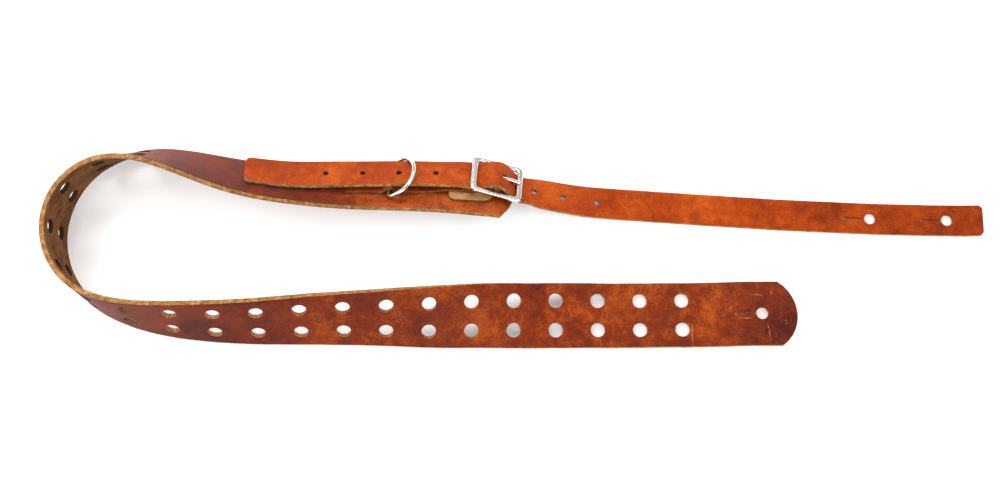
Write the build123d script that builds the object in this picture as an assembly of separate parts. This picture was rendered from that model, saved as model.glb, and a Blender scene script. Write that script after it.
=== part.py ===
from build123d import *
import os
from math import cos, radians, sin
import numpy as np

# Guitar strap, in millimetres. The origin is the centre of the wide end's button hole, at the
# table; +X points out of that rounded end, +Y towards the buckle's side, +Z up.
#
# Two leather straps lie on the table. The wide one is flat at its button hole, rises on edge
# round a U-turn and comes back half leaning to the buckle. The narrow one is threaded through
# the buckle. Each strip is described by stations, and everything on it is placed by three
# distances: along it, to the left of its middle line, and out of its grain face.

# leather
STRAP_WIDTH = 52.0
STRAP_THICK = 4.2
ADJUSTER_WIDTH = 25.4
ADJUSTER_THICK = 3.2
CHAPE_WIDTH = 25.0
CHAPE_TAB_WIDTH = 40.0
CHAPE_THICK = 2.2
END_DEPTH = 14.0            # how far the wide strap's rounded free end stands out from its corners
END_SKEW = 4.0              # and how far askew it is cut, in degrees
BUCKLE_END_DEPTH = 11.5

# holes
BUTTON_R = 4.75             # strap button hole in the wide end
ADJUSTER_BUTTON_R = 4.5
BUTTON_SLIT = 16.0          # relief slit beside each button hole
SLIT_WIDTH = 0.7
SLIT_END_R = 1.1
ROW_HOLE_R = 5.75
ROW_PITCH = 33.6
ROW_PAIRS = 20
ROW_SPACING = 23.4
ROW_START = 64.0            # from the button hole to the first pair
TONGUE_HOLE_R = 2.2
PUNCH_HEIGHT = 14.0         # of every punch, so that it passes right through its strip

# metal
FRAME_INNER_WIDTH = 27.4
FRAME_SIDE = 4.0            # width of the frame's sides
FRAME_BAR = 5.0             # and of its broader front and rear bars
FRAME_THICK = 3.6
BAR_SPAN = 19.0             # from the centre bar to the middle of the front and rear bars
FRAME_CORNER_R = 5.0
FRAME_INNER_R = 2.2
FRAME_ROUNDING = 1.5
FRAME_PITCH = 16.6          # the rear bar is high and the front bar is low, in degrees
CENTRE_BAR_R = 1.5
BAR_CLEARANCE = 0.35        # between the centre bar and the leather folded round it
TONGUE_R = 1.4
TONGUE_CURL = (1.9, 4.4)    # thickness and width of its curl round the centre bar
TONGUE_CLEARANCE = 0.1
RING_WIRE_R = 1.6
RING_INNER_WIDTH = 34.0
RING_REACH = 24.0           # from the ring's straight bar to its crown
RING_SHOULDER = 9.0         # straight part of the ring's sides
RING_CORNER_R = 4.0
RING_LEAN = 33.0            # the ring leans towards the buckle and rests on the adjuster strap
RING_CLEARANCE = 0.3
RIVET_POST_R = 1.5
RIVET_HEAD_R = 4.5
RIVET_HEAD_THICK = 0.9

# The wide strap's stations from its free end to its buckle end: X, Y, lean in degrees (0 is
# flat with the grain up, 90 is on edge) and lift off the table.
STRAP_STATIONS = [
    (28, 0, 0, 0), (0, 0, 0, 0), (-63, -1.4, 0, 0), (-143, -2, 4, 0), (-183, -2.6, 12, 0),
    (-222, -3.7, 23, 0), (-263, -5.5, 34, 0), (-302, -6.7, 45, 0), (-343, -7.9, 52, 0),
    (-383, -9.8, 58, 0), (-424, -10.9, 64, 0), (-464, -9.4, 71, 0), (-503, -3.7, 81, 0),
    (-539.5, 13.5, 91, 0), (-560, 46, 96, 0), (-558, 85.5, 94, 0), (-532.5, 115.5, 83, 0),
    (-495.5, 124.5, 68, 0), (-455, 117.5, 55.5, 0), (-417, 108, 47, 0), (-376, 103, 40, 0),
    (-337, 102, 33, 0), (-295.5, 102, 29, 0), (-256, 101.2, 27, 0.6), (-226, 99.3, 24.5, 1.4),
    (-213, 98.3, 24, 1.4), (-206, 97.5, 24, 0.1), (-198.5, 95.2, 24, -4),
]

# Places along the wide strap, measured from its free end
BUTTON_HOLE_AT = 28.0
BUCKLE_AT = 1017.5
BUCKLE_SEAT_BACK = 20.0
BUCKLE_LEFT = 5.5           # the buckle sits towards the table side of the strap
BUCKLE_ABOVE = 7.1         # the centre bar above the middle of the strap's thickness
RING_AT = 931.5
RING_LEFT = 1.8

# The adjuster strap from its tail: distance along the wide strap, left of it and above its middle
TAIL_STATIONS = [
    (815.5, -2, 8.9, -16), (829.5, -0.2, 8.6, -15), (856.5, 0.4, 8.8, -14), (883.5, 2.4, 9.4, -9),
    (908.5, 3, 10, -5), (932.5, 3.5, 10.2, -2), (956.5, 4.4, 9.9, 0), (981.5, 5.2, 9.8, 0),
]
# then through the buckle: along and above its centre bar, from behind the rear bar to past the front
THREADED_STATIONS = [
    (-25, 2.1), (-17.3, 1.3), (-9, 3.7), (-3.5, 5.7), (0, 6.0), (3.5, 5.1), (7.5, 1.8),
    (11.2, -3.3), (14.8, -7.7), (19, -10.3), (25, -11.3),
]
# and out to the guitar's end: X, Y, Z and lean
END_STATIONS = [
    (-176, 97.2, 7.1, 15), (-160, 94.4, 5.4, 11), (-144, 92.2, 3.6, 6), (-120, 90.2, 2.1, 1.5),
    (-95, 88.4, 1.7, 0), (-63, 86.4, 1.6, 0), (-31, 84.3, 1.6, 0), (1, 82.2, 1.6, 0),
    (33, 80.3, 1.6, 0), (66, 78.7, 1.6, 0), (98, 77.5, 1.6, 0), (130, 76.7, 1.6, 0),
    (156, 76.4, 1.6, 0), (181, 76.4, 1.6, 0),
]
THREADED_SKEW = -0.02                    # it runs slightly askew through the buckle
ADJUSTER_BUTTONS = (29.4, 91.4)          # button holes, from the strap's guitar end
TONGUE_HOLES = (-138.7, -109.2, -80.2, -50.7, -21.2, 36.4, 60.3, 87.8)   # from the centre bar
END_CLIP = 2.5                           # clipped corners of the narrow strap

# The chape: along and above the middle of the wide strap, from the end of its lower tab
TAB_STATIONS = [(-38, 3.35), (-32, 3.3), (-26, 3.25), (-20, 3.25), (-13, 3.4)]
TAB_LENGTH = 36.0
# round the centre bar, along and above it
TAB_RISE = [(-7, -3.35), (-3, -2.93)]
LEG_FALL = [(-3.2, 2.4), (-7, 0.9), (-11, -0.75), (-15, -1.5)]
# and back along the wide strap, over the ring's straight bar
LEG_STATIONS = [(-21, 5.5), (-27, 5.5), (-34, 5.5), (-40, 5.5), (-44, 4.95), (-49, 3.75), (-54, 3.4),
                (-62, 3.3), (-72, 3.25)]
LEG_END_STATIONS = [(-98, 3.55), (-105, 3.45), (-113, 3.5), (-121, 3.55)]
RING_HUMP = [(9, 3.45), (6.2, 3.5), (4.3, 4.6), (2.3, 6.3), (0, 7.1)]   # before and over the bar
TAB_CORNER_R = 5.0
TONGUE_SLOT = (11.0, 5.4, 8.6)           # in the chape's fold: along, across and through both layers
ADJUSTER_SLOT = (10.6, 3.6)              # in the adjuster strap, where the tongue comes through
ADJUSTER_SLOT_AT = 7.3
TONGUE_STATIONS = [(0.8, 2.35), (5, 2.35), (10, 1.0), (14, -0.4), (18, -1.7)]
RIVETS = (-32, -63, -107)                # along the chape
RIVET_TOPS = (6.7, 4.5, 4.85)           # the chape's top there, above the strap's middle


def natural_spline(knots, rows, at):
    """Smooth curve through rows of values at the knots, read at other places."""
    step = np.diff(knots)
    size = len(knots)
    matrix, right = np.eye(size), np.zeros_like(rows)
    for i in range(1, size - 1):
        matrix[i, i - 1:i + 2] = step[i - 1], 2 * (step[i - 1] + step[i]), step[i]
        right[i] = 6 * ((rows[i + 1] - rows[i]) / step[i] - (rows[i] - rows[i - 1]) / step[i - 1])
    bend = np.linalg.solve(matrix, right)
    i = np.clip(np.searchsorted(knots, at) - 1, 0, size - 2)
    gap = step[i][:, None]
    a = (knots[i + 1] - at)[:, None] / gap
    b = 1 - a
    curve = a * rows[i] + b * rows[i + 1]
    return curve + ((a**3 - a) * bend[i] + (b**3 - b) * bend[i + 1]) * gap**2 / 6


def unit(rows):
    return rows / np.linalg.norm(rows, axis=-1, keepdims=True)


class Strip:
    """A leather strip: its middle line, and at each place the directions along it, to its right
    and out of its grain face."""

    def __init__(self, points, rights, fine=0.25):
        points, rights = np.array(points, float), np.array(rights, float)
        chords = np.linalg.norm(np.diff(points, axis=0), axis=1)
        knots = np.concatenate([[0], np.cumsum(chords)])
        at = np.linspace(0, knots[-1], int(knots[-1] / fine) + 1)
        rows = natural_spline(knots, np.hstack([points, rights]), at)
        self.centre = rows[:, :3]
        self.along = unit(np.gradient(self.centre, axis=0))
        rights = rows[:, 3:]
        rights = rights - (rights * self.along).sum(1, keepdims=True) * self.along
        self.right = unit(rights)
        self.out = np.cross(self.right, self.along)
        steps = np.linalg.norm(np.diff(self.centre, axis=0), axis=1)
        self.arc = np.concatenate([[0], np.cumsum(steps)])
        self.length = self.arc[-1]

    def read(self, rows, at):
        return np.array([np.interp(at, self.arc, rows[:, k]) for k in range(3)])

    def point(self, at, left=0.0, above=0.0):
        right, out = self.read(self.right, at), self.read(self.out, at)
        return self.read(self.centre, at) - left * right + above * out

    def plane(self, at, left=0.0, above=0.0):
        """A plane with X along the strip and Z out of its grain face."""
        along, out = self.read(self.along, at), self.read(self.out, at)
        return Plane(origin=tuple(self.point(at, left, above)), x_dir=tuple(along), z_dir=tuple(out))

    def edge(self, places, left, above):
        return Spline(*[tuple(self.point(at, left, above)) for at in places])

    def solid(self, places, width, thick):
        """The strip between the first and the last place, a closed solid of ruled faces."""
        half, rise = width / 2, thick / 2
        corners = [(half, rise), (half, -rise), (-half, -rise), (-half, rise)]
        edges = [self.edge(places, left, above) for left, above in corners]
        sides = [Face.make_surface_from_curves(edges[k], edges[k - 1]) for k in range(4)]
        ends = []
        for at in (places[0], places[-1]):
            loop = [tuple(self.point(at, left, above)) for left, above in corners]
            ends.append(Face(Wire.make_polygon([Vector(p) for p in loop], close=True)))
        return Solid(Shell(sides + ends))


def leaned(x, y, z, lean, heading):
    """A station's middle point and the direction to the strip's right, which the lean raises."""
    side = (sin(heading) * cos(radians(lean)), -cos(heading) * cos(radians(lean)))
    return (x, y, z), (*side, sin(radians(lean)))


def headings(rows):
    """Heading of the plan line at each station, from its neighbours."""
    flat = np.array([row[:2] for row in rows], float)
    step = np.gradient(flat, axis=0)
    return np.arctan2(step[:, 1], step[:, 0])


def wide_strip():
    points, rights = [], []
    for (x, y, lean, lift), heading in zip(STRAP_STATIONS, headings(STRAP_STATIONS)):
        tilt = radians(lean)
        z = STRAP_WIDTH / 2 * sin(tilt) + STRAP_THICK / 2 * cos(tilt) + lift
        point, right = leaned(x, y, z, lean, heading)
        points.append(point)
        rights.append(right)
    return Strip(points, rights)


def turned(strip, at, roll):
    """The strip's direction to the right, rolled about the strip by some degrees."""
    right, out = strip.read(strip.right, at), strip.read(strip.out, at)
    return right * cos(radians(roll)) + out * sin(radians(roll))


def buckle_plane(strip):
    """Plane at the middle of the centre bar: X along the strap, Y along the bar, Z out. It goes
    on straight from the chape's rivet, where the strap is not bent down yet."""
    back = BUCKLE_SEAT_BACK
    seat = strip.plane(BUCKLE_AT - back, BUCKLE_LEFT, BUCKLE_ABOVE)
    return Plane(origin=seat.from_local_coords((back, 0, 0)), x_dir=seat.x_dir, z_dir=seat.z_dir)


def adjuster_strip(strip, buckle):
    points, rights = [], []
    for at, left, above, roll in TAIL_STATIONS:
        points.append(tuple(strip.point(at, left, above)))
        rights.append(tuple(turned(strip, at, roll)))
    for along, above in THREADED_STATIONS:
        points.append(tuple(buckle.from_local_coords((along, THREADED_SKEW * along, above))))
        rights.append(tuple(-buckle.y_dir))
    for (x, y, z, lean), heading in zip(END_STATIONS, headings(END_STATIONS)):
        point, right = leaned(x, y, z, lean, heading)
        points.append(point)
        rights.append(right)
    return Strip(points, rights)


def places_between(start, end, step):
    return list(np.linspace(start, end, max(int(round(abs(end - start) / step)), 2) + 1))


def rounded_end(strip, at, facing, depth, skew=0.0):
    """Waste outside a rounded end whose furthest point is at the given place."""
    half = STRAP_WIDTH / 2
    deep, far = -depth * facing, 12 * facing
    arc = ThreePointArc((deep, -half), (0, 0), (deep, half))
    box = Polyline((deep, half), (deep, half + 5), (far, half + 5), (far, -half - 5),
                   (deep, -half - 5), (deep, -half))
    waste = extrude(make_face(arc + box), PUNCH_HEIGHT, both=True)
    return strip.plane(at) * Rot(0, 0, skew) * waste


def clipped_end(strip, at, facing, width):
    """Waste triangles at the two corners of a square end."""
    waste = []
    for side in (-1, 1):
        tip = (END_CLIP * facing, side * (width / 2 + 1))
        corner = Polyline((0.5 * facing, side * (width / 2 - END_CLIP)), (tip[0], tip[1]),
                          (-END_CLIP * facing, tip[1]), close=True)
        waste.append(strip.plane(at) * extrude(make_face(corner), PUNCH_HEIGHT / 2, both=True))
    return waste


def hole(strip, at, left, radius):
    return strip.plane(at, left) * Cylinder(radius, PUNCH_HEIGHT)


def button_slit(strip, at, radius, facing):
    """Relief slit that lets a strap button through, with a small round end that stops tearing."""
    middle = facing * (radius + BUTTON_SLIT / 2 - 1)
    slit = Pos(middle, 0, 0) * Box(BUTTON_SLIT + 2, SLIT_WIDTH, PUNCH_HEIGHT)
    end = Pos(facing * (radius + BUTTON_SLIT), 0, 0) * Cylinder(SLIT_END_R, PUNCH_HEIGHT)
    return strip.plane(at) * slit + strip.plane(at) * end


def wide_strap(strip):
    """The shoulder strap: rounded ends, a button hole with its slit and two rows of holes."""
    start = BUTTON_HOLE_AT
    body = strip.solid(places_between(0, strip.length, 16), STRAP_WIDTH, STRAP_THICK)
    waste = [rounded_end(strip, 0, -1, END_DEPTH, END_SKEW),
             rounded_end(strip, strip.length, 1, BUCKLE_END_DEPTH)]
    waste += [hole(strip, start, 0, BUTTON_R), button_slit(strip, start, BUTTON_R, 1)]
    for pair in range(ROW_PAIRS):
        at = start + ROW_START + pair * ROW_PITCH
        waste += [hole(strip, at, side * ROW_SPACING / 2, ROW_HOLE_R) for side in (-1, 1)]
    waste += [hole(strip, BUCKLE_AT + at, chape_left(at), RIVET_POST_R) for at in RIVETS]
    return body.cut(*[piece for item in waste for piece in item.solids()])


def adjuster_strap(strip, buckle, bar_at):
    """The narrow strap, with button holes at the guitar's end and small holes for the tongue."""
    far = strip.length
    rear, front = bar_at - 32, bar_at + 36
    places = places_between(0, rear, 12)[:-1] + places_between(rear, front, 2.5)
    places += places_between(front, far, 12)[1:]
    body = strip.solid(places, ADJUSTER_WIDTH, ADJUSTER_THICK)
    waste = clipped_end(strip, 0, -1, ADJUSTER_WIDTH) + clipped_end(strip, far, 1, ADJUSTER_WIDTH)
    for back in ADJUSTER_BUTTONS:
        waste.append(hole(strip, far - back, 0, ADJUSTER_BUTTON_R))
        waste.append(button_slit(strip, far - back, ADJUSTER_BUTTON_R, -1))
    waste += [hole(strip, bar_at + at, 0, TONGUE_HOLE_R) for at in TONGUE_HOLES]
    slot = extrude(SlotOverall(*ADJUSTER_SLOT), PUNCH_HEIGHT / 2, both=True)
    waste.append(buckle * Pos(ADJUSTER_SLOT_AT, 0, 0) * slot)
    return body.cut(*[piece for item in waste for piece in item.solids()])


def chape_left(along):
    """How far left of the wide strap's middle the chape lies, from the buckle to the ring."""
    return BUCKLE_LEFT + (RING_LEFT - BUCKLE_LEFT) * along / (RING_AT - BUCKLE_AT)


def on_strap(strip, stations):
    """Points and rights of chape stations that follow the wide strap."""
    points, rights = [], []
    for along, above in stations:
        points.append(tuple(strip.point(BUCKLE_AT + along, chape_left(along), above)))
        rights.append(tuple(strip.read(strip.right, BUCKLE_AT + along)))
    return points, rights


def round_bar(buckle, stations):
    points = [tuple(buckle.from_local_coords((along, 0, above))) for along, above in stations]
    return points, [tuple(-buckle.y_dir)] * len(points)


def chape_strip(strip, buckle):
    """The folded chape, from its lower tab round the centre bar to its far end."""
    fold_r = CENTRE_BAR_R + BAR_CLEARANCE + CHAPE_THICK / 2
    turn = [(fold_r * cos(radians(a)), fold_r * sin(radians(a))) for a in range(-90, 91, 30)]
    ring = RING_AT - BUCKLE_AT
    hump = [(ring + along, above) for along, above in RING_HUMP]
    hump += [(ring - along, above) for along, above in reversed(RING_HUMP[:-1])]
    parts = [on_strap(strip, TAB_STATIONS), round_bar(buckle, TAB_RISE + turn + LEG_FALL),
             on_strap(strip, LEG_STATIONS + hump + LEG_END_STATIONS)]
    points = [point for part in parts for point in part[0]]
    rights = [right for part in parts for right in part[1]]
    return Strip(points, rights, 0.1)


def buckle_chape(strip, buckle, chape):
    """The thin leather that holds the buckle and the ring: a wide lower tab, the fold round the
    centre bar with a slot for the tongue, and the upper leg."""
    tab = chape.solid(places_between(0, TAB_LENGTH, 5), CHAPE_TAB_WIDTH, CHAPE_THICK)
    corners = [edge for edge in tab.edges() if edge.length < 1.05 * CHAPE_THICK]
    tab = tab.fillet(TAB_CORNER_R, corners)
    leg = chape.solid(places_between(TAB_LENGTH, chape.length, 1.0), CHAPE_WIDTH, CHAPE_THICK)
    body = tab.fuse(leg)
    waste = [buckle * Box(*TONGUE_SLOT)]
    waste += [hole(strip, BUCKLE_AT + at, chape_left(at), RIVET_POST_R) for at in RIVETS]
    return body.cut(*[piece for item in waste for piece in item.solids()])


def buckle_frame(pitched):
    """Cast frame, a rectangle with round corners and rounded bars, with sockets for the centre bar."""
    outline = RectangleRounded(2 * BAR_SPAN + FRAME_BAR, FRAME_INNER_WIDTH + 2 * FRAME_SIDE, FRAME_CORNER_R)
    window = RectangleRounded(2 * BAR_SPAN - FRAME_BAR, FRAME_INNER_WIDTH, FRAME_INNER_R)
    cast = extrude(outline - window, FRAME_THICK / 2, both=True)
    rims = cast.edges().filter_by(Plane.XY)
    return pitched * (fillet(rims, FRAME_ROUNDING) - centre_bar())


def centre_bar():
    """Straight bar across the frame, pressed into the side wires."""
    return Rot(90, 0, 0) * Cylinder(CENTRE_BAR_R, FRAME_INNER_WIDTH + FRAME_SIDE)


def buckle_tongue(buckle):
    """Prong curled round the centre bar; its tip rests on the front bar."""
    inner = CENTRE_BAR_R + TONGUE_CLEARANCE
    wall, wide = TONGUE_CURL
    curl = Rot(90, 0, 0) * (Cylinder(inner + wall, wide) - Cylinder(inner, wide))
    line = Spline(*[(along, 0, above) for along, above in TONGUE_STATIONS])
    finger = sweep(Plane(origin=line @ 0, z_dir=line % 0) * Circle(TONGUE_R), line)
    tip = Pos(*(line @ 1)) * Sphere(TONGUE_R)
    return buckle * (curl + finger + tip - Rot(90, 0, 0) * Cylinder(inner, wide))


def ring_plane(strip):
    """Plane on the ring's straight bar: X towards the buckle, Y along the bar."""
    return strip.plane(RING_AT, RING_LEFT, STRAP_THICK / 2 + RING_CLEARANCE + RING_WIRE_R)


def keeper_ring(seat):
    """Wire ring with one straight side under the adjuster strap and a crown over it."""
    half = RING_INNER_WIDTH / 2 + RING_WIRE_R
    crown = EllipticalCenterArc((RING_SHOULDER, 0), RING_REACH - RING_SHOULDER, half,
                                start_angle=-90, arc_size=180)
    bend = FilletPolyline((RING_SHOULDER, half), (0, half), (0, -half), (RING_SHOULDER, -half),
                         radius=RING_CORNER_R)
    path = Wire(crown.edges() + bend.edges())
    wire = sweep(Plane(origin=path @ 0, z_dir=path % 0) * Circle(RING_WIRE_R), path)
    return seat * Rot(0, -RING_LEAN, 0) * wire


def rivets(strip):
    """Rivets through the wide strap and the chape: posts with a head below, and their caps."""
    posts, caps = [], []
    for at, top in zip(RIVETS, RIVET_TOPS):
        seat = strip.plane(BUCKLE_AT + at, chape_left(at))
        base = -STRAP_THICK / 2
        head = Pos(0, 0, base - RIVET_HEAD_THICK / 2) * Cylinder(RIVET_HEAD_R, RIVET_HEAD_THICK)
        head = fillet(head.edges().sort_by(Axis.Z)[0], RIVET_HEAD_THICK * 0.6)
        stem_top = top + RIVET_HEAD_THICK / 2
        stem = Pos(0, 0, (base + stem_top) / 2) * Cylinder(RIVET_POST_R, stem_top - base)
        cap = Pos(0, 0, top + RIVET_HEAD_THICK / 2) * Cylinder(RIVET_HEAD_R, RIVET_HEAD_THICK)
        cap = fillet(cap.edges().sort_by(Axis.Z)[-1], RIVET_HEAD_THICK * 0.6)
        posts.append(seat * (head + stem))
        caps.append(seat * (cap - stem))
    return posts, caps


def save(name, shapes):
    solids = [solid for shape in shapes for solid in shape.solids()]
    export_step(solids[0] if len(solids) == 1 else Compound(solids), f"parts/{name}.step")


def bar_distance(adjuster, buckle):
    """Distance along the adjuster strap to where it crosses the centre bar."""
    gaps = np.linalg.norm(adjuster.centre - np.array(tuple(buckle.origin)), axis=1)
    return adjuster.arc[np.argmin(gaps)]


os.makedirs("parts", exist_ok=True)
strap_strip = wide_strip()
buckle_seat = buckle_plane(strap_strip)
pitched_seat = buckle_seat * Rot(0, FRAME_PITCH, 0)
adjuster = adjuster_strip(strap_strip, buckle_seat)
chape = chape_strip(strap_strip, buckle_seat)
ring_seat = ring_plane(strap_strip)
post_shapes, cap_shapes = rivets(strap_strip)

save("wide_strap", [wide_strap(strap_strip)])
save("adjuster_strap", [adjuster_strap(adjuster, buckle_seat, bar_distance(adjuster, buckle_seat))])
save("buckle_chape", [buckle_chape(strap_strip, buckle_seat, chape)])
save("buckle_frame", [buckle_frame(pitched_seat)])
save("buckle_centre_bar", [pitched_seat * centre_bar()])
save("buckle_tongue", [buckle_tongue(buckle_seat)])
save("keeper_ring", [keeper_ring(ring_seat)])
save("rivet_posts", post_shapes)
save("rivet_caps", cap_shapes)
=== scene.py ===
from math import cos, pi, radians, sin
import bpy
import numpy as np
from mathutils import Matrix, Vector


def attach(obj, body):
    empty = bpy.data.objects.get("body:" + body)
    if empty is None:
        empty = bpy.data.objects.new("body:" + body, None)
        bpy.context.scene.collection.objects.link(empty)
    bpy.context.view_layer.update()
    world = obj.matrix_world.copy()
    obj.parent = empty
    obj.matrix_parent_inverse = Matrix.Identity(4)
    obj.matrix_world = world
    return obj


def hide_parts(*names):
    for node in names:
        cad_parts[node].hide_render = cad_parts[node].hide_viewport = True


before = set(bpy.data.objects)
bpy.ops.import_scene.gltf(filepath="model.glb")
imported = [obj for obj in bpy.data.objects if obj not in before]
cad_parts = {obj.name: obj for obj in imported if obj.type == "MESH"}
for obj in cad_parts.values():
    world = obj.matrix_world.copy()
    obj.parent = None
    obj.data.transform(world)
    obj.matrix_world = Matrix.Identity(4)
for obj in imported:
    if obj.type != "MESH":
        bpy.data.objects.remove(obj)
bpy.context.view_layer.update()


# --- Wide shoulder strap -------------------------------------------------------------------
# One strip of thick oiled leather, cut flat, its ends rounded, two rows of large holes and a
# button hole with a relief slit punched in it. It is modelled flat, as on the bench, and then
# laid along the line in which it lies on the table.
MM = 0.001
STRAP_WIDTH, STRAP_THICK = 52 * MM, 4.2 * MM
END_DEPTH, BUCKLE_END_DEPTH, END_SKEW = 14 * MM, 11.5 * MM, -0.07
BUTTON_HOLE_AT, BUTTON_R = 28 * MM, 4.75 * MM
BUTTON_SLIT, SLIT_WIDTH, SLIT_END_R = 16 * MM, 0.7 * MM, 1.1 * MM
ROW_START, ROW_PITCH, ROW_PAIRS = 64 * MM, 33.6 * MM, 20
ROW_SPACING, ROW_HOLE_R = 23.4 * MM, 5.75 * MM
SLIT_OVERLAP = 1 * MM
# X, Y in millimetres, lean in degrees and lift off the table, from the free end to the buckle
STRAP_STATIONS = [
    (28, 0, 0, 0), (0, 0, 0, 0), (-63, -1.4, 0, 0), (-143, -2, 4, 0), (-183, -2.6, 12, 0),
    (-222, -3.7, 23, 0), (-263, -5.5, 34, 0), (-302, -6.7, 45, 0), (-343, -7.9, 52, 0),
    (-383, -9.8, 58, 0), (-424, -10.9, 64, 0), (-464, -9.4, 71, 0), (-503, -3.7, 81, 0),
    (-539.5, 13.5, 91, 0), (-560, 46, 96, 0), (-558, 85.5, 94, 0), (-532.5, 115.5, 83, 0),
    (-495.5, 124.5, 68, 0), (-455, 117.5, 55.5, 0), (-417, 108, 47, 0), (-376, 103, 40, 0),
    (-337, 102, 33, 0), (-295.5, 102, 29, 0), (-256, 101.2, 27, 0.6), (-226, 99.3, 24.5, 1.4),
    (-213, 98.3, 24, 1.4), (-206, 97.5, 24, 0.1), (-198.5, 95.2, 24, -4),
]


def natural_spline(knots, rows, at):
    """Smooth curve through rows of values at the knots, read at other places."""
    step = np.diff(knots)
    size = len(knots)
    matrix, right = np.eye(size), np.zeros_like(rows)
    for i in range(1, size - 1):
        matrix[i, i - 1:i + 2] = step[i - 1], 2 * (step[i - 1] + step[i]), step[i]
        right[i] = 6 * ((rows[i + 1] - rows[i]) / step[i] - (rows[i] - rows[i - 1]) / step[i - 1])
    bend = np.linalg.solve(matrix, right)
    i = np.clip(np.searchsorted(knots, at) - 1, 0, size - 2)
    gap = step[i][:, None]
    a = (knots[i + 1] - at)[:, None] / gap
    b = 1 - a
    curve = a * rows[i] + b * rows[i + 1]
    return curve + ((a**3 - a) * bend[i] + (b**3 - b) * bend[i + 1]) * gap**2 / 6


def unit(rows):
    return rows / np.linalg.norm(rows, axis=-1, keepdims=True)


class LaidStrip:
    """The line a leather strip lies along, in metres: its middle, and the directions along it,
    to its right and out of its grain face."""

    def __init__(self, points, rights, fine=0.25):
        points, rights = np.array(points, float), np.array(rights, float)
        chords = np.linalg.norm(np.diff(points, axis=0), axis=1)
        knots = np.concatenate([[0], np.cumsum(chords)])
        at = np.linspace(0, knots[-1], int(knots[-1] / fine) + 1)
        rows = natural_spline(knots, np.hstack([points, rights]), at)
        self.centre = rows[:, :3]
        self.along = unit(np.gradient(self.centre, axis=0))
        rights = rows[:, 3:] - (rows[:, 3:] * self.along).sum(1, keepdims=True) * self.along
        self.right = unit(rights)
        self.out = np.cross(self.right, self.along)
        steps = np.linalg.norm(np.diff(self.centre, axis=0), axis=1)
        self.arc = np.concatenate([[0], np.cumsum(steps)]) * MM
        self.centre = self.centre * MM
        self.length = self.arc[-1]

    def read(self, rows, at):
        return np.stack([np.interp(at, self.arc, rows[:, k]) for k in range(3)], axis=-1)

    def point(self, at, left=0.0, above=0.0):
        """Where a flat place (along, left, above) comes to lie. Past an end it goes straight on."""
        at, left, above = (np.asarray(v, float) for v in (at, left, above))
        over = at - np.clip(at, 0, self.length)
        right, out = self.read(self.right, at), self.read(self.out, at)
        place = self.read(self.centre, at) + over[..., None] * self.read(self.along, at)
        return place - left[..., None] * right + above[..., None] * out


def leaned(x, y, z, lean, heading):
    """A station's middle point and the direction to the strip's right, which the lean raises."""
    side = (sin(heading) * cos(radians(lean)), -cos(heading) * cos(radians(lean)))
    return (x, y, z), (*side, sin(radians(lean)))


def headings(rows):
    step = np.gradient(np.array([row[:2] for row in rows], float), axis=0)
    return np.arctan2(step[:, 1], step[:, 0])


def strap_line():
    points, rights = [], []
    for (x, y, lean, lift), heading in zip(STRAP_STATIONS, headings(STRAP_STATIONS)):
        tilt = radians(lean)
        z = (STRAP_WIDTH / 2 * sin(tilt) + STRAP_THICK / 2 * cos(tilt)) / MM + lift
        point, right = leaned(x, y, z, lean, heading)
        points.append(point)
        rights.append(right)
    return LaidStrip(points, rights)


def deselect():
    if bpy.context.object and bpy.context.object.mode == "EDIT":
        bpy.ops.object.mode_set(mode="OBJECT")
    bpy.ops.object.select_all(action="DESELECT")


def coordinates(piece):
    flat = np.empty(len(piece.data.vertices) * 3)
    piece.data.vertices.foreach_get("co", flat)
    return flat.reshape(-1, 3)


def set_coordinates(piece, places):
    piece.data.vertices.foreach_set("co", np.asarray(places, float).ravel())
    piece.data.update()


def finish_with(piece, kind, **settings):
    """Adds a modifier to the piece and applies it."""
    deselect()
    bpy.context.view_layer.objects.active = piece
    piece.select_set(True)
    bpy.ops.object.modifier_add(type=kind)
    modifier = piece.modifiers[-1]
    for key, value in settings.items():
        setattr(modifier, key, value)
    bpy.ops.object.modifier_apply(modifier=modifier.name)


def leather_blank(name, length, width, thick, cell, columns=None):
    """A flat strip in small cells, from 0 to its length along X, centred on Y and Z. The columns
    say where its cells begin, when they are not all of one size."""
    deselect()
    across = int(round(width / cell))
    if columns is None:
        columns = np.linspace(0, length, int(round(length / cell)) + 1)
    bpy.ops.mesh.primitive_grid_add(x_subdivisions=len(columns) - 1, y_subdivisions=across, size=1)
    blank = bpy.context.object
    blank.name = name
    bpy.ops.object.mode_set(mode="EDIT")
    bpy.ops.mesh.select_all(action="SELECT")
    bpy.ops.mesh.extrude_region_move(TRANSFORM_OT_translate={"value": (0, 0, -1)})
    bpy.ops.mesh.select_all(action="SELECT")
    bpy.ops.mesh.normals_make_consistent(inside=False)
    bpy.ops.object.mode_set(mode="OBJECT")
    places = coordinates(blank)
    order = np.rint((places[:, 0] + 0.5) * (len(columns) - 1)).astype(int)
    places[:, 0] = columns[order]
    places[:, 1] *= width
    places[:, 2] = (places[:, 2] + 0.5) * thick
    set_coordinates(blank, places)
    return blank


TOOL_DEPTH = 20 * MM


def punch_tool(x, y, radius, sides=28):
    bpy.ops.mesh.primitive_cylinder_add(vertices=sides, radius=radius, depth=TOOL_DEPTH,
                                        location=(x, y, 0))
    return bpy.context.object


def slit_tool(x, y, length, wide):
    bpy.ops.mesh.primitive_cube_add(size=1, location=(x, y, 0))
    tool = bpy.context.object
    tool.scale = (length, wide, TOOL_DEPTH)
    bpy.ops.object.transform_apply(location=False, rotation=False, scale=True)
    return tool


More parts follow.
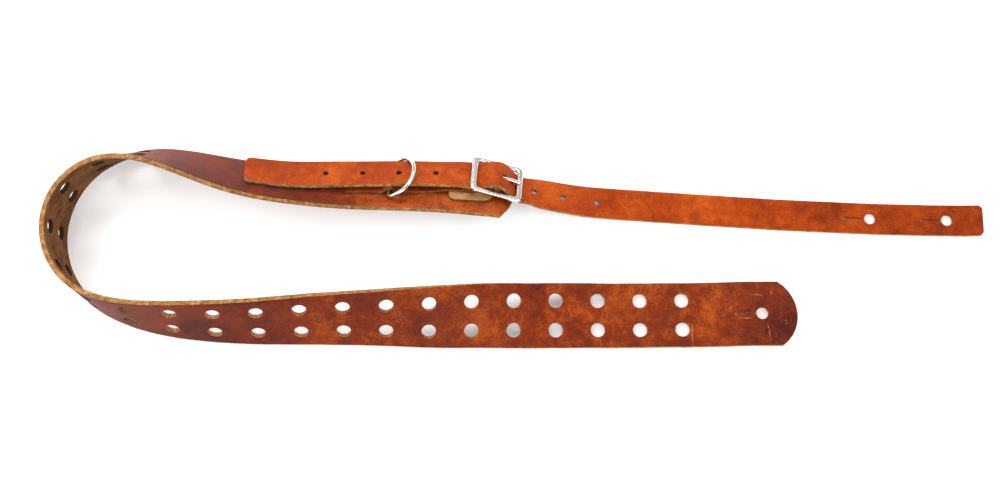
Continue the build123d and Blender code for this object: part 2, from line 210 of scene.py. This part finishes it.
def cut_with(blank, tools):
    """Takes the shapes of all the tools, joined as one cutter, out of the blank."""
    deselect()
    for tool in tools:
        tool.select_set(True)
    bpy.context.view_layer.objects.active = tools[0]
    bpy.ops.object.join()
    cutter = bpy.context.object
    finish_with(blank, "BOOLEAN", operation="DIFFERENCE", object=cutter, solver="EXACT", use_self=True)
    bpy.data.objects.remove(cutter, do_unlink=True)


def round_the_end(places, end, facing, depth, skew=0.0):
    """Draws the last columns of cells back to a shallow arc, which may be cut a little askew."""
    reach = 34 * MM
    half = STRAP_WIDTH / 2
    radius = (half**2 + depth**2) / (2 * depth)
    back = radius - np.sqrt(np.maximum(radius**2 - places[:, 1]**2, 0))
    inside = (places[:, 0] - end) * -facing
    share = np.clip(1 - inside / reach, 0, 1)
    places[:, 0] -= facing * (back + skew * places[:, 1]) * share


def waves(x, seed):
    """A few sine waves added up, for an edge that wanders without repeating."""
    total = 0
    for order, (length, height) in enumerate(((173.0, 0.45), (71.0, 0.3), (31.0, 0.16), (13.7, 0.09))):
        total = total + height * np.sin(2 * pi * x / length + seed * 1.7 + order)
    return total


def hand_cut(places, width, seed, amount):
    """The long edges wander a little, as a hand-cut strap's do."""
    x = places[:, 0] / MM
    for side in (-1, 1):
        weight = np.clip(places[:, 1] * side / (width / 2), 0, 1) ** 3
        places[:, 1] += side * amount * (waves(x, seed + side) - 0.8) * weight


def map_leather(piece):
    """A UV map in metres of the flat leather, read by the grain of its materials."""
    flat = coordinates(piece)
    layer = piece.data.uv_layers.new(name="leather")
    loops = np.empty(len(piece.data.loops), dtype=int)
    piece.data.loops.foreach_get("vertex_index", loops)
    layer.data.foreach_set("uv", (flat[loops][:, :2] + (0, flat[:, 2].min())).ravel())


def sort_faces(piece, materials, length, width):
    """Grain, flesh, cut-edge and punched-wall materials, by where each face of the flat piece
    is and which way it looks."""
    for material in materials:
        piece.data.materials.append(material)
    side_rim, start_rim, end_rim = 1.5 * MM, 16 * MM, 14 * MM
    for face in piece.data.polygons:
        x, y, _ = face.center
        inside = abs(y) < width / 2 - side_rim and start_rim < x < length - end_rim
        up = face.normal.z
        face.material_index = 0 if up > 0.5 else 1 if up < -0.5 else 3 if inside else 2
        face.use_smooth = True


def lay_down(piece, line):
    """Bends the flat piece to lie along its line, and smooths it except at its cut edges."""
    places = coordinates(piece)
    set_coordinates(piece, line.point(places[:, 0], places[:, 1], places[:, 2]))
    deselect()
    piece.select_set(True)
    bpy.context.view_layer.objects.active = piece
    bpy.ops.object.shade_smooth_by_angle(angle=radians(38))


class Finish:
    """A node material, built up step by step."""

    def __init__(self, name):
        self.material = bpy.data.materials.new(name)
        self.material.use_nodes = True
        self.tree = self.material.node_tree
        self.shader = self.tree.nodes["Principled BSDF"]

    def node(self, kind, settings=None, **inputs):
        node = self.tree.nodes.new("ShaderNode" + kind)
        for key, value in (settings or {}).items():
            setattr(node, key, value)
        for key, value in inputs.items():
            self.put(node.inputs[key.replace("_", " ")], value)
        return node

    def put(self, socket, value):
        if isinstance(value, bpy.types.NodeSocket):
            self.tree.links.new(value, socket)
        else:
            socket.default_value = value

    def math(self, operation, *values):
        node = self.node("Math", {"operation": operation})
        for socket, value in zip(node.inputs, values):
            self.put(socket, value)
        return node.outputs[0]

    def noise(self, where, scale, detail, rough, twist=0.0):
        node = self.node("TexNoise", Vector=where, Scale=scale, Detail=detail, Roughness=rough,
                         Distortion=twist)
        return node.outputs["Fac"]

    def ramp(self, value, *stops):
        node = self.node("ValToRGB", Fac=value)
        points = node.color_ramp.elements
        while len(points) < len(stops):
            points.new(0.5)
        for point, (place, colour) in zip(points, stops):
            point.position = place
            point.color = (*colour, 1)
        return node.outputs["Color"]

    def span(self, value, low, high, to_low=0.0, to_high=1.0):
        node = self.node("MapRange")
        for socket, number in zip(node.inputs[:5], (value, low, high, to_low, to_high)):
            self.put(socket, number)
        return node.outputs[0]

    def mix(self, share, first, second):
        node = self.node("Mix", {"data_type": "RGBA"})
        self.put(node.inputs["Factor"], share)
        colours = [socket for socket in node.inputs if socket.type == "RGBA"]
        self.put(colours[0], first)
        self.put(colours[1], second)
        return [socket for socket in node.outputs if socket.type == "RGBA"][0]

    def bump(self, height, distance, strength, under=None):
        node = self.node("Bump", Height=height, Distance=distance, Strength=strength)
        if under is not None:
            self.put(node.inputs["Normal"], under)
        return node.outputs["Normal"]

    def set(self, **inputs):
        for key, value in inputs.items():
            self.put(self.shader.inputs[key.replace("_", " ")], value)


def leather_place(finish):
    return finish.node("UVMap", {"uv_map": "leather"}).outputs["UV"]


SCUFF_WIDTH = 0.9 * MM


def scratches(finish, where, marks):
    """Short pale scuffs: where each one starts and ends on the flat leather, in millimetres."""
    shake = finish.noise(where, 300, 3, 0.6)
    worn = None
    for x0, y0, x1, y1 in marks:
        turn, reach = np.arctan2(y1 - y0, x1 - x0), np.hypot(x1 - x0, y1 - y0) * MM
        middle = ((x0 + x1) / 2 * MM, (y0 + y1) / 2 * MM, 0)
        mapped = finish.node("Mapping", {"vector_type": "TEXTURE"}, Vector=where, Location=middle,
                             Rotation=(0, 0, turn), Scale=(reach, SCUFF_WIDTH, 1))
        x, y = finish.node("SeparateXYZ", Vector=mapped.outputs[0]).outputs[:2]
        y = finish.math("ADD", y, finish.math("MULTIPLY", finish.math("SUBTRACT", shake, 0.5), 2.4))
        lengthways = finish.span(finish.math("ABSOLUTE", x), 0.5, 0.35)
        crossways = finish.span(finish.math("ABSOLUTE", y), 0.5, 0.15)
        mark = finish.math("MULTIPLY", lengthways, crossways)
        worn = mark if worn is None else finish.math("MAXIMUM", worn, mark)
    return finish.math("MULTIPLY", worn, finish.span(shake, 0.4, 0.56, 0.15, 0.62))


def grain_leather(name, dark, middle, bright, tone, marks=()):
    """Waxed pull-up leather: cloudy colour, pale where it has been bent, fine pores and creases."""
    finish = Finish(name)
    where = leather_place(finish)
    clouds = finish.noise(where, 22, 4, 0.55, 0.5)
    patches = finish.noise(where, 120, 6, 0.66, 0.6)
    specks = finish.noise(where, 640, 5, 0.7, 0.3)
    blend = finish.math("ADD", finish.math("MULTIPLY", clouds, 0.34), finish.math("MULTIPLY", patches, 0.36))
    blend = finish.math("ADD", blend, finish.math("MULTIPLY", specks, 0.30))
    blend = finish.math("ADD", blend, tone(finish, where))
    colour = finish.ramp(blend, (0.36, dark), (0.5, middle), (0.64, bright))
    rubbed = finish.span(finish.noise(where, 420, 6, 0.75, 1.2), 0.62, 0.72)
    colour = finish.mix(finish.math("MULTIPLY", rubbed, 0.45), colour, (*bright, 1))
    if marks:
        colour = finish.mix(scratches(finish, where, marks), colour, (0.55, 0.24, 0.085, 1))
    pores = finish.node("TexVoronoi", {"feature": "DISTANCE_TO_EDGE"}, Vector=where, Scale=950.0).outputs[0]
    creases = finish.noise(where, 330, 6, 0.65, 1.5)
    fine = finish.bump(finish.span(pores, 0.0, 0.12), 0.00006, 0.5)
    fine = finish.bump(creases, 0.00035, 0.55, fine)
    fine = finish.bump(patches, 0.0016, 0.35, fine)
    finish.set(Base_Color=colour, Roughness=finish.span(patches, 0.3, 0.7, 0.36, 0.56), Normal=fine,
               Specular_IOR_Level=0.09)
    return finish.material


def flesh_leather(name, dark, bright):
    """The split side: dull, fibrous, with paler fuzz."""
    finish = Finish(name)
    where = leather_place(finish)
    stretched = finish.node("Mapping", Vector=where, Scale=(0.45, 1.0, 1.0)).outputs[0]
    fibres = finish.noise(stretched, 700, 6, 0.7, 0.8)
    clouds = finish.noise(where, 60, 5, 0.65, 0.5)
    blend = finish.math("ADD", finish.math("MULTIPLY", fibres, 0.45), finish.math("MULTIPLY", clouds, 0.55))
    colour = finish.ramp(blend, (0.38, dark), (0.66, bright))
    rough = finish.bump(fibres, 0.0006, 0.8)
    finish.set(Base_Color=colour, Roughness=0.88, Normal=rough, Specular_IOR_Level=0.06)
    return finish.material


def raw_edge(name, dark, middle, pale):
    """The cut edge: raw fibres in layers, golden tan with darker specks."""
    finish = Finish(name)
    where = finish.node("TexCoord").outputs["Object"]
    fibres = finish.noise(where, 900, 6, 0.75, 1.0)
    clumps = finish.noise(where, 260, 4, 0.6)
    blend = finish.math("ADD", finish.math("MULTIPLY", fibres, 0.6), finish.math("MULTIPLY", clumps, 0.4))
    colour = finish.ramp(blend, (0.36, dark), (0.5, middle), (0.64, pale))
    rough = finish.bump(fibres, 0.0009, 0.9)
    finish.set(Base_Color=colour, Roughness=0.9, Normal=rough, Specular_IOR_Level=0.06)
    return finish.material


def punched_wall(name, dark, pale, shade):
    """The wall of a punched hole: smoother than a cut edge, with painted shade that darkens it where the bend
    shuts it and no light gets in.
    """
    finish = Finish(name)
    where = leather_place(finish)
    fibres = finish.noise(finish.node("TexCoord").outputs["Object"], 700, 5, 0.7, 0.6)
    colour = finish.ramp(fibres, (0.38, dark), (0.64, pale))
    along = finish.node("SeparateXYZ", Vector=where).outputs[0]
    # Painted shade: along the bend, where the holes' insides get no light, the walls are mixed towards near
    # black.
    bend = finish.math("MULTIPLY", finish.span(along, 0.48, 0.56), finish.span(along, 0.82, 0.76))
    colour = finish.mix(finish.math("MULTIPLY", bend, shade), colour, (0.018, 0.007, 0.004, 1))
    finish.set(Base_Color=colour, Roughness=0.85, Normal=finish.bump(fibres, 0.0005, 0.7),
               Specular_IOR_Level=0.06)
    return finish.material


def strap_tone(finish, where):
    """Darker at the rounded end and round the bend, more orange towards the buckle."""
    along = finish.node("SeparateXYZ", Vector=where).outputs[0]
    tip = finish.span(along, 0.004, 0.05, -0.09, 0.0)
    bend = finish.math("MULTIPLY", finish.span(along, 0.34, 0.46), finish.span(along, 0.98, 0.82))
    buckle = finish.span(along, 0.84, 0.96, 0.0, 0.05)
    tone = finish.math("ADD", tip, finish.math("MULTIPLY", bend, -0.055))
    return finish.math("ADD", tone, buckle)


SCUFFS = [
    (84.6, 5.4, 84.6, 24), (34.8, -17.6, 26.8, -16.4), (54.6, -5.4, 51.7, -8.9),
    (23.9, 7, 22.6, 17.8), (46, 1.9, 37, 1.6), (46, -1.9, 40, -1.8),
    (21, -20, 19.5, -17), (10, 3, 8.5, 7),
]
strap_grain = grain_leather("strap_grain", (0.055, 0.009, 0.006), (0.165, 0.021, 0.003), (0.37, 0.066, 0.006),
                            strap_tone, SCUFFS)
strap_flesh = flesh_leather("strap_flesh", (0.055, 0.019, 0.007), (0.27, 0.115, 0.042))
strap_edge = raw_edge("strap_edge", (0.10, 0.038, 0.010), (0.33, 0.155, 0.050), (0.66, 0.40, 0.17))

strap_on_table = strap_line()
strap = leather_blank("shoulder_strap", strap_on_table.length, STRAP_WIDTH, STRAP_THICK, 4.2 * MM)
flat = coordinates(strap)
hand_cut(flat, STRAP_WIDTH, 3, 0.28 * MM)
round_the_end(flat, 0, -1, END_DEPTH, END_SKEW)
round_the_end(flat, strap_on_table.length, 1, BUCKLE_END_DEPTH)
set_coordinates(strap, flat)
tools = [punch_tool(BUTTON_HOLE_AT, 0, BUTTON_R),
         slit_tool(BUTTON_HOLE_AT + BUTTON_R + BUTTON_SLIT / 2 - SLIT_OVERLAP, 0,
                  BUTTON_SLIT + 2 * SLIT_OVERLAP, SLIT_WIDTH),
         punch_tool(BUTTON_HOLE_AT + BUTTON_R + BUTTON_SLIT, 0, SLIT_END_R, 12)]
for pair in range(ROW_PAIRS):
    x = BUTTON_HOLE_AT + ROW_START + pair * ROW_PITCH
    tools += [punch_tool(x, side * ROW_SPACING / 2, ROW_HOLE_R) for side in (-1, 1)]
cut_with(strap, tools)
finish_with(strap, "BEVEL", width=0.35 * MM, segments=2, limit_method="ANGLE", angle_limit=radians(50),
            use_clamp_overlap=False)
map_leather(strap)
# the last number sets how far painted shade darkens the hole walls round the loop, where their insides get no
# light
strap_wall = punched_wall("strap_hole_wall", (0.13, 0.045, 0.018), (0.56, 0.27, 0.13), 0.96)
sort_faces(strap, (strap_grain, strap_flesh, strap_edge, strap_wall), strap_on_table.length, STRAP_WIDTH)
lay_down(strap, strap_on_table)
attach(strap, "strap")
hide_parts("wide_strap")


# --- Adjuster strap ------------------------------------------------------------------------
# The narrow strap, brighter and smoother leather, square cut with clipped corners. Its tail lies
# on the wide strap, it passes under the rear bar, over the centre bar and under the front bar,
# and runs out flat to its two button holes.
ADJUSTER_WIDTH, ADJUSTER_THICK = 25.4 * MM, 3.2 * MM
ADJUSTER_BUTTON_R = 4.5 * MM
ADJUSTER_BUTTONS = (29.4 * MM, 91.4 * MM)
# the tongue holes, in millimetres from the centre bar towards the square end
TONGUE_HOLES = (-138.7, -109.2, -80.2, -50.7, -21.2, 36.4, 60.3, 87.8)
TONGUE_HOLE_R = 2.2 * MM
END_CLIP = 2.5 * MM
TONGUE_SLOT_AT, TONGUE_SLOT_LENGTH, TONGUE_SLOT_WIDTH = 9.6 * MM, 12.4 * MM, 3.4 * MM
BUCKLE_AT, BUCKLE_LEFT, BUCKLE_ABOVE = 1017.5 * MM, 5.5 * MM, 7.1 * MM
BUCKLE_SEAT_BACK, THREADED_SKEW = 20 * MM, -0.02
# the tail, in millimetres along the wide strap, left and above its middle, and a roll in degrees
TAIL_STATIONS = [
    (815.5, -2, 8.9, -16), (829.5, -0.2, 8.6, -15), (856.5, 0.4, 8.8, -14), (883.5, 2.4, 9.4, -9),
    (908.5, 3, 10, -5), (932.5, 3.5, 10.2, -2), (956.5, 4.4, 9.9, 0), (981.5, 5.2, 9.8, 0),
]
# along and above, from the centre bar
THREADED_STATIONS = [
    (-25, 2.1), (-17.3, 1.3), (-9, 3.7), (-3.5, 5.7), (0, 6.0), (3.5, 5.1), (7.5, 1.8),
    (11.2, -3.3), (14.8, -7.7), (19, -10.3), (25, -11.3),
]
# X, Y, Z and lean, from the buckle to the square end
END_STATIONS = [
    (-176, 97.2, 7.1, 15), (-160, 94.4, 5.4, 11), (-144, 92.2, 3.6, 6), (-120, 90.2, 2.1, 1.5),
    (-95, 88.4, 1.7, 0), (-63, 86.4, 1.6, 0), (-31, 84.3, 1.6, 0), (1, 82.2, 1.6, 0),
    (33, 80.3, 1.6, 0), (66, 78.7, 1.6, 0), (98, 77.5, 1.6, 0), (130, 76.7, 1.6, 0),
    (156, 76.4, 1.6, 0), (181, 76.4, 1.6, 0),
]


def buckle_axes(line):
    """Middle of the centre bar, and the directions along the strap, along the bar and out."""
    at = BUCKLE_AT - BUCKLE_SEAT_BACK
    along, out = line.read(line.along, at), line.read(line.out, at)
    seat = line.point(at, BUCKLE_LEFT, BUCKLE_ABOVE) + BUCKLE_SEAT_BACK * along
    return seat, along, np.cross(out, along), out


def adjuster_line(line):
    seat, forward, sideways, out = buckle_axes(line)
    points, rights = [], []
    for at, left, above, roll in TAIL_STATIONS:
        points.append(line.point(at * MM, left * MM, above * MM) / MM)
        turn = radians(roll)
        rights.append(line.read(line.right, at * MM) * cos(turn) + line.read(line.out, at * MM) * sin(turn))
    for along, above in THREADED_STATIONS:
        points.append(seat / MM + along * (forward + THREADED_SKEW * sideways) + above * out)
        rights.append(-sideways)
    for (x, y, z, lean), heading in zip(END_STATIONS, headings(END_STATIONS)):
        point, right = leaned(x, y, z, lean, heading)
        points.append(point)
        rights.append(right)
    return LaidStrip(points, rights)


def clip_corners(places, end, facing, width):
    """Draws the corner cells in, as a square end with its corners clipped."""
    inside = (places[:, 0] - end) * -facing
    short = width / 2 - np.abs(places[:, 1])
    cut = np.clip((END_CLIP - inside - short) / 2, 0, None)
    places[:, 0] -= facing * cut
    places[:, 1] -= np.sign(places[:, 1]) * cut


def adjuster_tone(finish, where):
    """Redder and darker towards the guitar's end."""
    along = finish.node("SeparateXYZ", Vector=where).outputs[0]
    return finish.span(along, 0.40, 0.60, 0.0, -0.09)


adjuster_grain = grain_leather("adjuster_grain", (0.150, 0.016, 0.001), (0.30, 0.037, 0.001),
                               (0.47, 0.085, 0.004), adjuster_tone)
# the adjuster's flesh colour, also laid on the chape's cut edges and hole walls as painted shade
adjuster_flesh_and_chape_edge_shade = flesh_leather("adjuster_flesh_and_chape_edge_shade", (0.06, 0.020, 0.006), (0.24, 0.11, 0.035))

adjuster_on_table = adjuster_line(strap_on_table)
bar_middle = buckle_axes(strap_on_table)[0]
bar_at = adjuster_on_table.arc[np.argmin(np.linalg.norm(adjuster_on_table.centre - bar_middle, axis=1))]
adjuster_length = adjuster_on_table.length
# the columns are finest where the strap bends through the buckle
fine_from, fine_to = bar_at - 34 * MM, bar_at + 40 * MM
columns = np.concatenate([np.linspace(0, fine_from, 54)[:-1], np.linspace(fine_from, fine_to, 64)[:-1],
                          np.linspace(fine_to, adjuster_length, 110)])
adjuster = leather_blank("adjuster_strap_leather", adjuster_length, ADJUSTER_WIDTH, ADJUSTER_THICK, 3.2 * MM,
                         columns)
flat = coordinates(adjuster)
hand_cut(flat, ADJUSTER_WIDTH, 8, 0.2 * MM)
clip_corners(flat, 0, -1, ADJUSTER_WIDTH)
clip_corners(flat, adjuster_length, 1, ADJUSTER_WIDTH)
set_coordinates(adjuster, flat)
tools = [punch_tool(bar_at + at * MM, 0, TONGUE_HOLE_R, 16) for at in TONGUE_HOLES]
for back in ADJUSTER_BUTTONS:
    x = adjuster_length - back
    tools += [punch_tool(x, 0, ADJUSTER_BUTTON_R),
              slit_tool(x - ADJUSTER_BUTTON_R - BUTTON_SLIT / 2 + SLIT_OVERLAP, 0,
                        BUTTON_SLIT + 2 * SLIT_OVERLAP, SLIT_WIDTH),
              punch_tool(x - ADJUSTER_BUTTON_R - BUTTON_SLIT, 0, SLIT_END_R, 12)]
tools.append(slit_tool(bar_at + TONGUE_SLOT_AT, 0, TONGUE_SLOT_LENGTH, TONGUE_SLOT_WIDTH))
cut_with(adjuster, tools)
finish_with(adjuster, "BEVEL", width=0.3 * MM, segments=2, limit_method="ANGLE", angle_limit=radians(50),
            use_clamp_overlap=False)
map_leather(adjuster)
adjuster_wall = punched_wall("adjuster_hole_wall", (0.07, 0.022, 0.006), (0.30, 0.13, 0.045), 0.0)
sort_faces(adjuster, (adjuster_grain, adjuster_flesh_and_chape_edge_shade, strap_edge, adjuster_wall), adjuster_length,
           ADJUSTER_WIDTH)
lay_down(adjuster, adjuster_on_table)
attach(adjuster, "strap")
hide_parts("adjuster_strap")


# --- Chape ---------------------------------------------------------------------------------
# Thinner leather folded round the buckle's centre bar, with a slot at the fold for the tongue
# and a wider tab below. Its upper leg runs back over the ring's straight bar, and rivets hold
# both layers down on the wide strap.
CHAPE_WIDTH, TAB_WIDTH, CHAPE_THICK = 25 * MM, 40 * MM, 2.2 * MM
TAB_LENGTH, TAB_CORNER_R = 36 * MM, 5 * MM
FOLD_SLOT_LENGTH, FOLD_SLOT_WIDTH, FOLD_SLOT_AHEAD = 15 * MM, 5.4 * MM, 2.95 * MM
CENTRE_BAR_R, BAR_CLEARANCE = 1.5 * MM, 0.35 * MM
RING_AT, RING_LEFT = 931.5 * MM, 1.8 * MM
RIVET_R = 1.5 * MM
# along from the buckle or the bar, and above, in millimetres
TAB_STATIONS = [(-38, 3.35), (-32, 3.3), (-26, 3.25), (-20, 3.25), (-13, 3.4)]
TAB_RISE = [(-7, -3.35), (-3, -2.93)]
LEG_FALL = [(-3.2, 2.4), (-7, 0.9), (-11, -0.75), (-15, -1.5)]
LEG_STATIONS = [(-21, 5.5), (-27, 5.5), (-34, 5.5), (-40, 5.5), (-44, 4.95), (-49, 3.75), (-54, 3.4),
                (-62, 3.3), (-72, 3.25)]
LEG_END_STATIONS = [(-98, 3.55), (-105, 3.45), (-113, 3.5), (-121, 3.55)]
RING_HUMP = [(9, 3.45), (6.2, 3.5), (4.3, 4.6), (2.3, 6.3), (0, 7.1)]
RIVETS = (-32, -63, -107)


def chape_left(along):
    """How far left of the wide strap's middle the chape lies, from the buckle to the ring."""
    return BUCKLE_LEFT + (RING_LEFT - BUCKLE_LEFT) * along * MM / (RING_AT - BUCKLE_AT)


def chape_line(line):
    seat, forward, sideways, out = buckle_axes(line)
    fold_r = (CENTRE_BAR_R + BAR_CLEARANCE + CHAPE_THICK / 2) / MM
    turn = [(fold_r * cos(radians(a)), fold_r * sin(radians(a))) for a in range(-90, 91, 30)]
    ring = (RING_AT - BUCKLE_AT) / MM
    hump = [(ring + along, above) for along, above in RING_HUMP]
    hump += [(ring - along, above) for along, above in reversed(RING_HUMP[:-1])]
    round_bar = [(seat / MM + at * forward + above * out, -sideways)
                 for at, above in TAB_RISE + turn + LEG_FALL]

    def on_strap(rows):
        """Points above the wide strap, and the directions to its right there."""
        return [(line.point(BUCKLE_AT + at * MM, chape_left(at), above * MM) / MM,
                 line.read(line.right, BUCKLE_AT + at * MM)) for at, above in rows]

    rows = on_strap(TAB_STATIONS) + round_bar + on_strap(LEG_STATIONS + hump + LEG_END_STATIONS)
    return LaidStrip([row[0] for row in rows], [row[1] for row in rows], 0.1)


def round_the_tab(places):
    """Rounds the tab's four corners."""
    for end, facing in ((0, -1), (TAB_LENGTH, 1)):
        inside, short = (places[:, 0] - end) * -facing, TAB_WIDTH / 2 - np.abs(places[:, 1])
        near = (inside < TAB_CORNER_R) & (short < TAB_CORNER_R) & (inside > -1 * MM)
        a, b = TAB_CORNER_R - inside, TAB_CORNER_R - short
        reach = np.hypot(a, b)
        pull = np.where(near & (reach > 1e-6), np.maximum(a, b) / np.maximum(reach, 1e-6), 1)
        drawn_x = end - facing * (TAB_CORNER_R - a * pull)
        drawn_y = np.sign(places[:, 1]) * (TAB_WIDTH / 2 - (TAB_CORNER_R - b * pull))
        places[:, 0] = np.where(near, drawn_x, places[:, 0])
        places[:, 1] = np.where(near, drawn_y, places[:, 1])


chape_on_table = chape_line(strap_on_table)
chape_length = chape_on_table.length
# the columns are finest at the fold
fine_from, fine_to = 26 * MM, 58 * MM
columns = np.concatenate([np.linspace(0, fine_from, 14)[:-1], np.linspace(fine_from, fine_to, 54)[:-1],
                          np.linspace(fine_to, chape_length, 118)])
chape = leather_blank("chape", chape_length, TAB_WIDTH, CHAPE_THICK, 1.6 * MM, columns)
trim, spare = (TAB_WIDTH - CHAPE_WIDTH) / 2, 4 * MM
tools = []
for side in (-1, 1):
    tools.append(slit_tool((TAB_LENGTH + chape_length) / 2 + 5 * MM, side * (TAB_WIDTH - trim + spare) / 2,
                           chape_length - TAB_LENGTH + 10 * MM, trim + spare))
fold_middle = bar_middle + buckle_axes(strap_on_table)[1] * FOLD_SLOT_AHEAD
fold_at = chape_on_table.arc[np.argmin(np.linalg.norm(chape_on_table.centre - fold_middle, axis=1))]
tools.append(slit_tool(fold_at, 0, FOLD_SLOT_LENGTH, FOLD_SLOT_WIDTH))
on_leg = chape_on_table.arc > fold_at
for at in RIVETS:
    place = strap_on_table.point(BUCKLE_AT + at * MM, chape_left(at), 4 * MM)
    nearest = np.argmin(np.where(on_leg, np.linalg.norm(chape_on_table.centre - place, axis=1), 1))
    tools.append(punch_tool(chape_on_table.arc[nearest], 0, RIVET_R, 16))
cut_with(chape, tools)
flat = coordinates(chape)
round_the_tab(flat)
set_coordinates(chape, flat)
finish_with(chape, "BEVEL", width=0.2 * MM, segments=2, limit_method="ANGLE", angle_limit=radians(50),
            use_clamp_overlap=False)
map_leather(chape)
chape_flesh = flesh_leather("chape_flesh", (0.16, 0.066, 0.020), (0.56, 0.31, 0.12))
# The chape's cut edges and hole walls get the adjuster's dark flesh in place of a cut-edge colour: painted
# shade, for the leg edges that lie in shade under the adjuster strap.
sort_faces(chape, (chape_flesh, strap_grain, adjuster_flesh_and_chape_edge_shade, adjuster_flesh_and_chape_edge_shade), chape_length, TAB_WIDTH)
lay_down(chape, chape_on_table)
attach(chape, "strap")
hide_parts("buckle_chape")


# --- Buckle, tongue and ring ---------------------------------------------------------------
# A cast frame, a bar, and a tongue and ring bent from wire, all polished and nickel plated. The
# chape's fold holds the bar, the tongue is curled round it, and the ring lies under the chape's
# leg. The rivets are antiqued brass. Their solids stay as they are and only get their plating.
def plating(name, colour, rough):
    finish = Finish(name)
    where = finish.node("TexCoord").outputs["Object"]
    cloud = finish.noise(where, 240, 4, 0.6)
    drawn = finish.node("Mapping", Vector=where, Scale=(900, 120, 900)).outputs[0]
    lines = finish.noise(drawn, 3, 5, 0.6)
    worn = [0.82 * channel for channel in colour]
    finish.set(Base_Color=finish.mix(finish.span(cloud, 0.45, 0.7), (*colour, 1), (*worn, 1)),
               Metallic=1.0, Roughness=finish.span(cloud, 0.3, 0.7, rough, rough + 0.12),
               Normal=finish.bump(lines, 0.00004, 0.4))
    return finish.material


def plate(material, *names):
    for name in names:
        node = bpy.data.objects[name]
        node.data.materials.clear()
        node.data.materials.append(material)


plate(plating("buckle_nickel", (0.80, 0.78, 0.74), 0.12),
      "buckle_frame", "buckle_centre_bar", "buckle_tongue")
plate(plating("ring_nickel", (0.74, 0.72, 0.68), 0.14), "keeper_ring")
plate(plating("antique_brass", (0.62, 0.45, 0.22), 0.3), "rivet_posts", "rivet_caps")


# --- Table, light and camera ---------------------------------------------------------------
# A sheet of white paper, just under the leather. Four softboxes stand round it with the largest
# behind, and the camera looks down from a little in front.
def plain_paper():
    finish = Finish("white_paper")
    finish.set(Base_Color=(0.93, 0.93, 0.93, 1), Roughness=0.9, Specular_IOR_Level=0.1,
               Emission_Color=(0.97, 0.985, 1, 1), Emission_Strength=0.16)
    return finish.material


deselect()
bpy.ops.mesh.primitive_plane_add(size=8, location=(0, 0, -0.0004))
table = bpy.context.object
table.name = "paper_floor"
table.data.materials.append(plain_paper())


STRAP_MIDDLE = Vector((-0.2, 0.05, 0))


def softbox(name, place, width, height, power):
    """A rectangular light, aimed at the middle of the strap."""
    data = bpy.data.lights.new(name, "AREA")
    data.shape, data.size, data.size_y, data.energy = "RECTANGLE", width, height, power
    light = bpy.data.objects.new(name, data)
    bpy.context.collection.objects.link(light)
    light.location = place
    light.rotation_euler = (STRAP_MIDDLE - light.location).to_track_quat("-Z", "Y").to_euler()


softbox("back_softbox", (-0.35, 1.35, 1.25), 2.2, 1.0, 36)
softbox("left_softbox", (-1.7, 0.1, 1.1), 1.0, 1.2, 13)
softbox("right_softbox", (1.4, 0.0, 1.2), 1.0, 1.2, 12)
softbox("front_softbox", (-0.2, -1.5, 1.3), 2.0, 0.8, 26)

world = bpy.data.worlds.new("studio")
bpy.context.scene.world = world
world.use_nodes = True
background = world.node_tree.nodes["Background"]
background.inputs["Color"].default_value = (1, 1, 1, 1)
background.inputs["Strength"].default_value = 0.45

camera_data = bpy.data.cameras.new("camera")
camera_data.lens = 59.9
camera_data.clip_end = 20
camera = bpy.data.objects.new("camera", camera_data)
bpy.context.collection.objects.link(camera)
camera.location = (-0.2088, -0.2563, 1.3035)
camera.rotation_euler = (radians(13.31), 0, 0)
bpy.context.scene.camera = camera
bpy.context.scene.view_settings.view_transform = "Standard"
